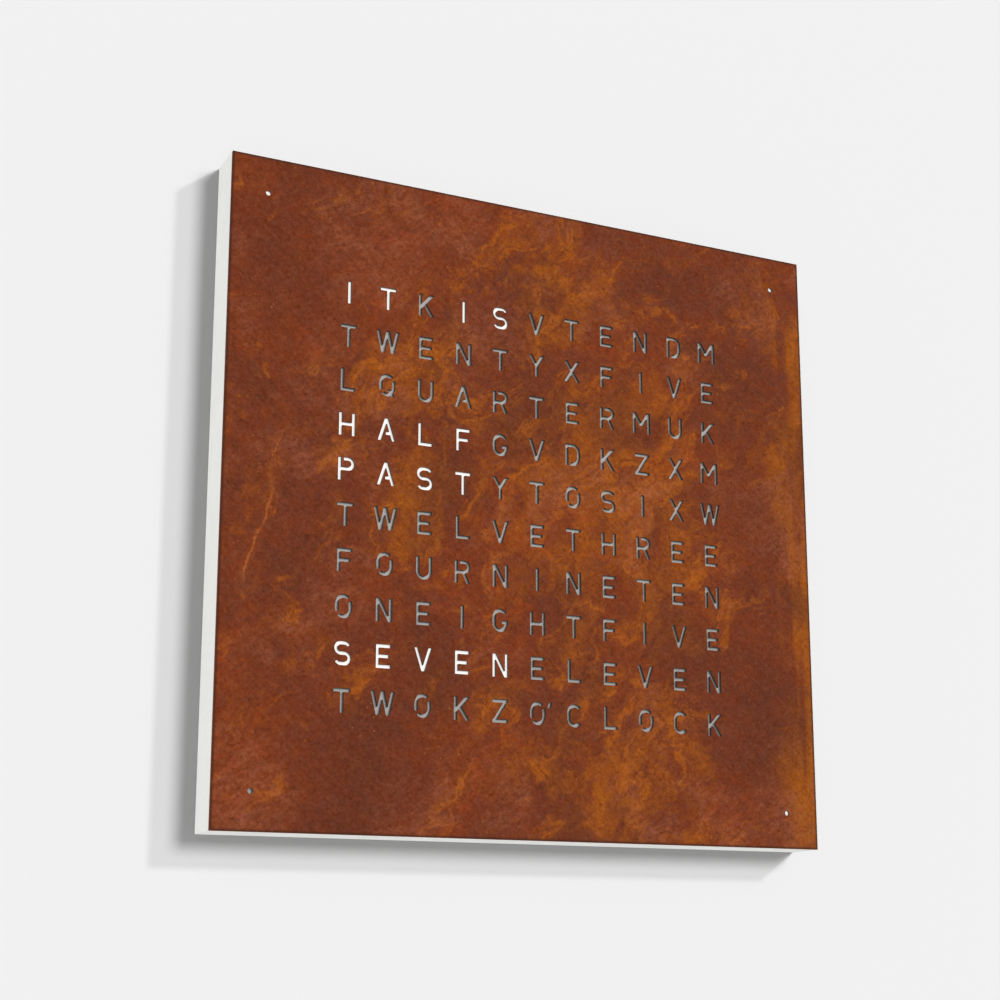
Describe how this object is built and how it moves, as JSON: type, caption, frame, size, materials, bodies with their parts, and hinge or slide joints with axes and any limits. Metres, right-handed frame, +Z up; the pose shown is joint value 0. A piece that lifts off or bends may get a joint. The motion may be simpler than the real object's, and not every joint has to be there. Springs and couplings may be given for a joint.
{
  "type": "word clock",
  "caption": "Square wall clock that tells the time in lit words cut through a rusted steel face on a shallow white case.",
  "frame": {"origin": "centre of the back of the case, in the plane that lies on the wall", "axes": "+Y out of the back into the wall, so the face looks along -Y; +X to the viewer's right; +Z up"},
  "size_m": [0.4508, 0.032, 0.45],
  "materials": {
    "rusted_steel": "weathered steel with a sealed brown-orange rust skin",
    "bare_steel": "bare bright steel",
    "opal_sheet": "opal acrylic diffuser, lit from behind where a word shows",
    "white_lacquer": "white satin lacquer on a moulded case",
    "grey_panel": "light grey moulded plastic with a fine grain",
    "zinc_steel": "zinc-plated steel",
    "magnet_nickel": "nickel-plated magnet",
    "white_moulding": "white reflecting plastic",
    "white_board": "white solder mask on glass-fibre board",
    "green_board": "green solder mask on glass-fibre board",
    "lamp_resin": "yellow phosphor resin in a white package",
    "black_resin": "black moulded chip package",
    "crystal_can": "pressed steel can",
    "cell_steel": "stainless coin cell",
    "capacitor_can": "drawn aluminium can",
    "connector_cream": "cream moulded connector",
    "inlet_black": "black moulded inlet body",
    "contact_pin": "plated brass contact",
    "switch_black": "black tactile switch body",
    "clear_guide": "clear acrylic light guide",
    "lead_grey": "grey flat cable insulation",
    "button_white": "white moulded key"
  },
  "bodies": {
    "case": {"case_frame": "white_lacquer", "face_magnets": "magnet_nickel", "back_panel": "grey_panel", "back_panel_screws": "zinc_steel", "hanger_left": "zinc_steel", "hanger_right": "zinc_steel", "hanger_screws": "zinc_steel", "light_grid": "white_moulding", "led_board_upper": "white_board", "led_board_lower": "white_board", "letter_leds": "lamp_resin", "minute_leds": "lamp_resin", "minute_tubes": "white_moulding", "board_link": "connector_cream", "control_board": "green_board", "control_chip": "black_resin", "driver_chips": "black_resin", "quartz_crystal": "crystal_can", "backup_cell": "cell_steel", "cell_holder": "inlet_black", "smoothing_capacitor": "capacitor_can", "board_socket": "connector_cream", "board_header": "connector_cream", "dc_inlet_housing": "inlet_black", "dc_inlet_pin": "contact_pin", "key_board": "green_board", "key_switches": "switch_black", "light_sensor_window": "clear_guide", "light_sensor_board": "green_board", "light_sensor_chip": "black_resin", "key_lead": "lead_grey", "sensor_lead": "lead_grey", "power_lead": "lead_grey"},
    "face": {"face_plate": "rusted_steel", "letter_diffuser": "opal_sheet", "locating_tabs": "bare_steel"},
    "mode_button": {"button_mode": "button_white"},
    "plus_button": {"button_plus": "button_white"},
    "minus_button": {"button_minus": "button_white"}
  },
  "joints": [
    {"name": "face_lift", "type": "slide", "parent": "case", "child": "face", "axis": [0, -1, 0], "range_m": [0, 0.08]},
    {"name": "mode_press", "type": "slide", "parent": "case", "child": "mode_button", "axis": [-1, 0, 0], "range_m": [0, 0.0005], "stiffness_N_per_m": 500, "springref_m": -0.001},
    {"name": "plus_press", "type": "slide", "parent": "case", "child": "plus_button", "axis": [-1, 0, 0], "range_m": [0, 0.0005], "stiffness_N_per_m": 500, "springref_m": -0.001},
    {"name": "minus_press", "type": "slide", "parent": "case", "child": "minus_button", "axis": [-1, 0, 0], "range_m": [0, 0.0005], "stiffness_N_per_m": 500, "springref_m": -0.001}
  ]
}
